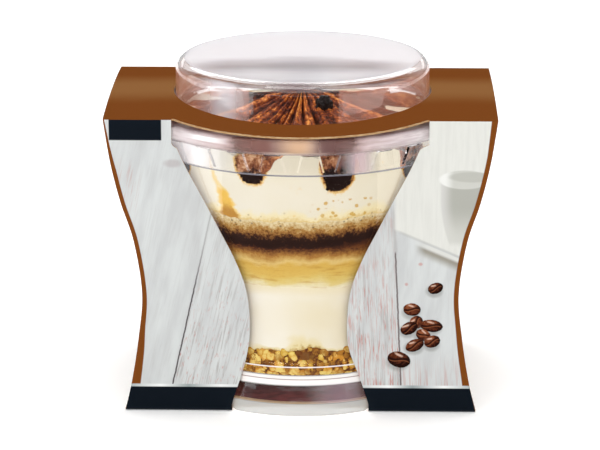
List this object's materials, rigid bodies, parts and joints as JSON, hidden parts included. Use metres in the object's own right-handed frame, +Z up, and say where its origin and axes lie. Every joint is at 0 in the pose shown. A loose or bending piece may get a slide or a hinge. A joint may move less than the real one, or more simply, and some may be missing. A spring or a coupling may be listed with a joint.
{
  "type": "layered dessert in a sleeved clear cup",
  "caption": "Layered coffee and cream dessert in a clear plastic tumbler with a domed clear lid, held in a printed card sleeve with open ends and windows front and back.",
  "frame": {"origin": "on the surface the part stands on, under the middle of the tumbler's foot", "axes": "+Z up; -Y is the front, where the sleeve's printed front panel and one window face; +X is to the right seen from the front, where one open end of the sleeve faces"},
  "size_m": [0.087, 0.0756, 0.0766],
  "materials": {
    "card": "satin printed card",
    "clear_plastic": "clear moulded plastic",
    "crumb": "rough biscuit crumb",
    "cream": "soft mascarpone cream",
    "sponge": "soaked sponge",
    "cocoa": "moist cocoa and coffee",
    "chocolate": "broken dark chocolate",
    "coffee": "wet coffee syrup"
  },
  "bodies": {
    "root": {"sleeve": "card", "cup": "clear_plastic", "lid": "clear_plastic", "crumb_base": "crumb", "lower_cream": "cream", "coffee_sponge": "sponge", "cocoa_layer": "cocoa", "upper_cream": "cream", "chocolate_piece": "chocolate", "coffee_pocket_1": "coffee", "coffee_pocket_2": "coffee", "coffee_pocket_3": "coffee", "coffee_pocket_4": "coffee", "coffee_pocket_5": "coffee", "coffee_pocket_6": "coffee", "coffee_pocket_7": "coffee", "coffee_pocket_8": "coffee", "coffee_pocket_9": "coffee", "coffee_pocket_10": "coffee", "coffee_pocket_11": "coffee"}
  },
  "joints": []
}
